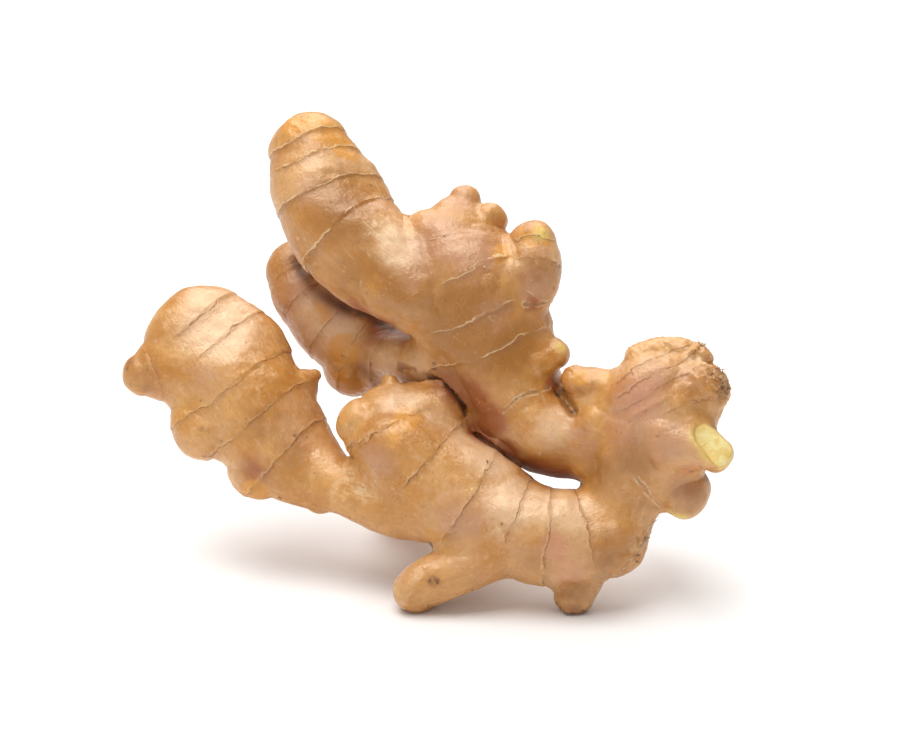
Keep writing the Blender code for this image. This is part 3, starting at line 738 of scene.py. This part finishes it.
# The skin's layers, from the flesh outwards: name, colour, greatest share, and the ramps whose product says where it
# is. A ramp is a value and the two levels between which it runs smoothly from 0 to 1, or the value alone, as it is.
# A layer with no colour is only read by other layers, the gloss or the relief.
LAYERS = (
    ("lip", None, 1.0, (("past", -0.65, -0.35), ("past", -0.02, -0.16), ("scar_lip",), ("break", 0.4, 0.56))),
    ("line", None, 1.0, (("past", -0.12, 0.08), ("past", 0.55, 0.15), ("scar_line",), ("break", 0.38, 0.6))),
    ("shade", None, 1.0, (("past", -0.2, 0.1), ("past", 3.4, 0.2), ("scar_shade",), ("mottle", 0.35, 0.6))),
    # Painted shade along the creases, with an uneven edge.
    ("dark_crease", None, 1.0, (("crease",), ("edge", 0.2, 0.45))),
    ("wrinkled", None, 1.0, (("crinkle",), ("broad", 0.47, 0.6))),
    ("flakes", None, 1.0, (("ragged", 0.58, 0.68), ("blotch", 0.5, 0.62))),
    ("young_flesh", "#D39A55", 1.0, (("mottle", 0.36, 0.64),)),
    ("pink_flesh", "#D0A27C", 0.5, (("broad", 0.5, 0.68),)),
    ("brown_flesh", "#B07030", 0.55, (("broad", 0.47, 0.32),)),
    ("pale_stretch", "#DFB88E", 0.4, (("tone", 0.5, 1.0),)),
    ("dark_stretch", "#B47B46", 0.35, (("tone", 0.5, 0.0),)),
    ("blotches", "#B37A45", 0.3, (("blotch", 0.54, 0.7),)),
    ("pale_fibres", "#E3C199", 0.32, (("fibre", 0.55, 0.7),)),
    ("dark_fibres", "#A66E3B", 0.3, (("fibre", 0.45, 0.3),)),
    ("pale_grain", "#E2BC8C", 0.25, (("ragged", 0.53, 0.7),)),
    ("dark_grain", "#A86F35", 0.25, (("ragged", 0.47, 0.32),)),
    # Partly the skin's own deeper colour and partly painted shade.
    ("deep_skin_and_shade", "#9C611C", 0.9, (("uneven_deep", 0.37, 1.02), ("deep", 0.02, 0.15))),
    # Partly the skin's own paler colour and partly painted highlight.
    ("light_skin_and_highlight", "#EBC7A2", 0.65, (("uneven_light", 0.37, 1.07), ("light", 0.02, 0.15))),
    ("mauve_skin", "#BC896B", 0.7, (("uneven_mauve", 0.37, 0.97), ("mauve", 0.02, 0.15))),
    # Painted russet shade in the joints.
    ("russet_joint_shade", "#9A4E22", 0.9, (("uneven_russet", 0.27, 0.87), ("russet", 0.02, 0.15))),
    ("bruise", "#CB8468", 0.5, (("uneven_rose", 0.47, 1.07), ("rose", 0.02, 0.15))),
    ("gold_flesh", "#D9963A", 0.75, (("uneven_gold", 0.57, 0.77), ("gold", 0.02, 0.15))),
    ("smudge", "#925829", 0.6, (("uneven_brown", 0.47, 1.07), ("brown", 0.02, 0.15))),
    ("dead_skin", None, 1.0, (("uneven_papery", 0.57, 0.87), ("papery", 0.02, 0.15))),
    (
        "dead_scales", "#EACFA5", 0.6,
        (("uneven_papery", 0.47, 0.97), ("papery", 0.02, 0.15), ("crinkle", 0.42, 0.62), ("fibre", 0.35, 0.55)),
    ),
    ("bud_skin", "#E6CB70", 0.8, (("uneven_bud", 0.47, 1.02), ("bud", 0.02, 0.15))),
    ("torn_rim", "#D8A45C", 0.8, (("uneven_facet", 0.29, 0.52), ("facet", 0.02, 0.15))),
    ("torn_flesh", "#EACC7C", 0.95, (("uneven_facet", 0.52, 0.77), ("facet", 0.02, 0.15))),
    ("wet_flesh", "#F3E4A4", 0.8, (("uneven_facet", 0.77, 1.07), ("facet", 0.02, 0.15), ("blotch", 0.56, 0.42))),
    ("flesh_streak", "#D9B443", 0.6, (("uneven_facet", 0.77, 1.07), ("facet", 0.02, 0.15), ("mottle", 0.52, 0.58))),
    ("eye_ring", "#A2692F", 0.6, (("eye_rim",), ("ragged", 0.4, 0.5))),
    ("scar_shadow", "#95602F", 0.6, (("shade",), ("scar_lip", -0.3, 1.0))),
    ("flake_tips", "#E7CCA2", 0.5, (("flakes",), ("mottle", 0.4, 0.7))),
    ("nicks", "#8A5427", 0.55, (("crinkle", 0.37, 0.33), ("ragged", 0.52, 0.62))),
    ("specks", "#70421F", 0.7, (("pore", 0.17, 0.09), ("blotch", 0.57, 0.64))),
    ("scar_brown", "#874618", 0.75, (("line",),)),
    ("scar_cream", "#ECD0A4", 0.75, (("lip",),)),
    ("crack_rim", "#E6C79C", 0.5, (("crack", 0.3, 0.6), ("edge", 0.42, 0.55))),
    ("crack_brown", "#824A20", 0.65, (("crack", 0.72, 0.92), ("edge", 0.4, 0.52))),
    # Painted shade in the joints and creases: a broad russet-brown one, then a near-black line.
    ("joint_shadow", "#84401C", 0.65, (("hollow",),)),
    ("dried_spots", "#663618", 0.85, (("uneven_dried", 0.47, 0.87), ("dried", 0.02, 0.15), ("ragged", 0.42, 0.56))),
    ("joint_dark_shade", "#4A200D", 0.92, (("dark_crease",),)),
)
colour = linear("#C07F30")
for name, hue, most, ramps in LAYERS:
    share = most
    for value, *levels in ramps:
        ramp = signal[value]
        if levels:
            start, end = (0.0, 1.0) if levels[0] < levels[1] else (1.0, 0.0)
            limits = {"From Min": min(levels), "From Max": max(levels), "To Min": start, "To Max": end}
            ramp = add(tree, "MapRange", {"Value": ramp, **limits}, interpolation_type="SMOOTHSTEP")
        share = add(tree, "Math", {0: ramp, 1: share}, operation="MULTIPLY")
    signal[name] = share
    if hue:
        colour = add(tree, "Mix", {0: share, 6: colour, 7: linear(hue)}, 2, data_type="RGBA")
tree.links.new(colour, shader.inputs["Base Color"])

# Waxy skin is smooth, from 0.24 to 0.38. Lips, the painted shade of the creases and joints, and dead skin are dry.
dry = add(tree, "Math", {0: signal["lip"], 1: signal["dark_crease"]}, operation="MAXIMUM")
dry = add(tree, "Math", {0: dry, 1: signal["russet"]}, operation="MAXIMUM")
waxy = {"Value": signal["blotch"], "From Min": 0.3, "From Max": 0.7, "To Min": 0.24, "To Max": 0.38}
rough = add(tree, "Math", {0: dry, 1: 0.3, 2: add(tree, "MapRange", waxy)}, operation="MULTIPLY_ADD")
rough = add(tree, "Math", {0: signal["dead_skin"], 1: 0.15, 2: rough}, operation="MULTIPLY_ADD")
tree.links.new(rough, shader.inputs["Roughness"])
shader.inputs["Metallic"].default_value = 0.0
shader.inputs["IOR"].default_value = 1.5
shader.inputs["Specular IOR Level"].default_value = 1.0
shader.inputs["Specular Tint"].default_value = linear("#FFF0D8")
shader.inputs["Subsurface Weight"].default_value = 0.22
shader.inputs["Subsurface Radius"].default_value = (1.0, 0.42, 0.16)
shader.inputs["Subsurface Scale"].default_value = 0.0035

# Fine relief, in shares of 0.4 mm: wrinkles, pimples, grain, fibres and flakes stand up, and the scar's line is sunk.
relief = 0.0
for name, share in (
    ("wrinkled", 2.0), ("pimple", 1.4), ("ragged", 1.4), ("grain", 0.9), ("fibre", 1.4), ("lip", 1.2),
    ("line", -1.2), ("flakes", 0.6),
):
    relief = add(tree, "Math", {0: signal[name], 1: share, 2: relief}, operation="MULTIPLY_ADD")
bump = add(tree, "Bump", {"Height": relief, "Strength": 0.28, "Distance": 0.0004})
tree.links.new(bump, shader.inputs["Normal"])

skin_mesh.materials.clear()
skin_mesh.materials.append(material)
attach(root, "root")
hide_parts("ginger_root")

# Dry scale shreds: the torn rims of the leaf sheaths and the stalk's fibres, thin papery curls a millimetre or two
# long. They stand in the leaf scars, on the bud tips and thickly round the stalk's scar.
# How many there are in the scars, on the stalk's scar and on the body's flaky lower edge, and where those two are.
ON_SCARS, ON_STALK, ON_EDGE = 60, 90, 12
STALK_PLACES = ((77, -27, 64, 5, 1.0), (79, -29, 62.5, 3, 1.0), (66, -21, 70, 3, 0.6), (73.5, -21, 71, 3, 0.8))
EDGE_PLACES = (
    (62.5, -29, 24, 2.2, 1.0), (60, -32.5, 20.5, 2.2, 1.0), (57.5, -35.5, 17, 2.2, 1.0), (54, -36.5, 14, 2.2, 1.0),
)
BUD_ENDS = (
    (-80.5, 4.5, 58), (-60.5, -7, 42.5), (-68, 2, 42), (-60.3, -5.8, 34), (-33.8, 25, 123), (-39.7, -12.5, 25),
    (3.1, -10.4, 62.5),
)
normals = numbers(skin_mesh.vertex_normals, "vector", 3).astype(float)
source = np.random.default_rng(21)
off = np.abs(skin["number"] - np.round(skin["number"])) * skin["spacing"]
chosen = [
    source.choice(np.flatnonzero(there), many, replace=False)
    for there, many in (
        ((off < 0.35) & (skin["shown"] > 0.9), ON_SCARS),
        (near(points, STALK_PLACES) > 0.5, ON_STALK),
        (near(points, EDGE_PLACES) > 0.5, ON_EDGE),
    )
]
chosen = np.concatenate([*chosen, [np.argmin(((points - end) ** 2).sum(1)) for end in BUD_ENDS]])
count = len(chosen)
out = normals[chosen]
on_scar = np.arange(count) < ON_SCARS
# Those on the scars lie any way; the stalk's lean up and outwards.
lean = unit(0.6 * source.normal(size=(count, 3)) + np.where(on_scar[:, None], [0, 0, 0.2], [0.5, 0.1, 0.6]))
along = unit(lean - (lean * out).sum(1)[:, None] * out)
beside = np.cross(out, along)
length = source.uniform(0.7, 1.9, count) * np.where(on_scar, 0.9, 1.3)
width = source.uniform(0.15, 0.5, count)
curl = source.uniform(0.3, 1.1, count)
# Each is a strip, u along it and v across: it bends off the skin on an arc of its curl, narrows to its tip with a
# wavy edge, and is a shallow trough across.
u = np.linspace(0, 1, 6)[None, :, None]
v = np.linspace(-1, 1, 4)[None, None, :]
long, wide, bent = length[:, None, None], width[:, None, None], curl[:, None, None]
run = long * np.sin(bent * u) / bent * np.ones_like(v)
rise = long * (1 - np.cos(bent * u)) / bent * np.ones_like(v) - 0.2
half = wide * (1 - u) ** 0.7 * v * (1 + 0.3 * np.sin(9 * u + 5 * long))
shreds = (
    points[chosen][:, None, None]
    + run[..., None] * along[:, None, None]
    + (rise + 0.12 * v**2)[..., None] * out[:, None, None]
    + half[..., None] * beside[:, None, None]
)
shreds[..., 2] = np.maximum(shreds[..., 2], 0.05)
number = np.arange(count * 24).reshape(count, 6, 4)
corners = [number[:, :-1, :-1], number[:, :-1, 1:], number[:, 1:, 1:], number[:, 1:, :-1]]
strips = mesh_of("shreds", shreds.reshape(-1, 3), np.stack(corners, axis=-1).reshape(-1, 4).tolist())
shred_mesh = finished("dry_scale_shreds", strips, [("SOLIDIFY", {"thickness": 0.08 * MM})])
shred_mesh.name = "dry_scale_shreds"
scales = bpy.data.objects.new("dry_scale_shreds", shred_mesh)
bpy.context.scene.collection.objects.link(scales)

# Dry leaf sheath: dull brown to cream paper with a grain of 2 mm, darker where it is torn.
papery = bpy.data.materials.new("dry_leaf_sheath")
papery.use_nodes = True
sheath = papery.node_tree
paper = sheath.nodes["Principled BSDF"]
grain = add(sheath, "TexNoise", {"Vector": add(sheath, "TexCoord", output="Object"), "Scale": 420.0, "Detail": 3.0})
share = add(sheath, "MapRange", {"Value": grain, "From Min": 0.35, "From Max": 0.65})
brown = add(sheath, "Mix", {0: share, 6: linear("#8A5A30"), 7: linear("#DDBB90")}, 2, data_type="RGBA")
sheath.links.new(brown, paper.inputs["Base Color"])
paper.inputs["Roughness"].default_value = 0.65
torn = add(sheath, "Bump", {"Height": grain, "Strength": 0.4, "Distance": 0.0002})
sheath.links.new(torn, paper.inputs["Normal"])
shred_mesh.materials.append(papery)
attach(scales, "root")

# Studio: a white sweep under and behind the root, one broad soft light overhead and weaker ones beside it.
floor_mesh = bpy.data.meshes.new("floor")
floor_mesh.from_pydata([(-6, -6, 0), (6, -6, 0), (6, 6, 0), (-6, 6, 0)], [], [(0, 1, 2, 3)])
floor = bpy.data.objects.new("floor", floor_mesh)
bpy.context.scene.collection.objects.link(floor)
floor_paper = bpy.data.materials.new("white_studio_paper")
floor_paper.use_nodes = True
sheet = floor_paper.node_tree.nodes["Principled BSDF"]
sheet.inputs["Base Color"].default_value = linear("#F4F3F2")
sheet.inputs["Roughness"].default_value = 0.7
floor_mesh.materials.append(floor_paper)


def softbox(name, place, size, watts, target):
    """A flat rectangular light that faces its target."""
    light = bpy.data.lights.new(name, "AREA")
    light.shape = "RECTANGLE"
    light.size, light.size_y = size
    light.energy = watts
    lamp = bpy.data.objects.new(name, light)
    lamp.location = place
    lamp.rotation_mode = "QUATERNION"
    lamp.rotation_quaternion = (target - Vector(place)).to_track_quat("-Z", "Y")
    bpy.context.scene.collection.objects.link(lamp)


softbox("top_light", (-0.22, -0.1, 1.25), (1.05, 0.95), 15.5, LOOK_AT)
softbox("front_light", (-0.46, -0.95, 0.62), (0.5, 0.5), 1.2, LOOK_AT)
softbox("far_light", (0, 1.9, 1.7), (2.2, 2.2), 42.0, Vector((0, 1.5, 0)))
world = bpy.data.worlds.new("studio")
world.use_nodes = True
room = world.node_tree.nodes["Background"]
room.inputs["Color"].default_value = (1, 1, 1, 1)
room.inputs["Strength"].default_value = 0.34
bpy.context.scene.world = world
bpy.context.scene.view_settings.view_transform = "Standard"
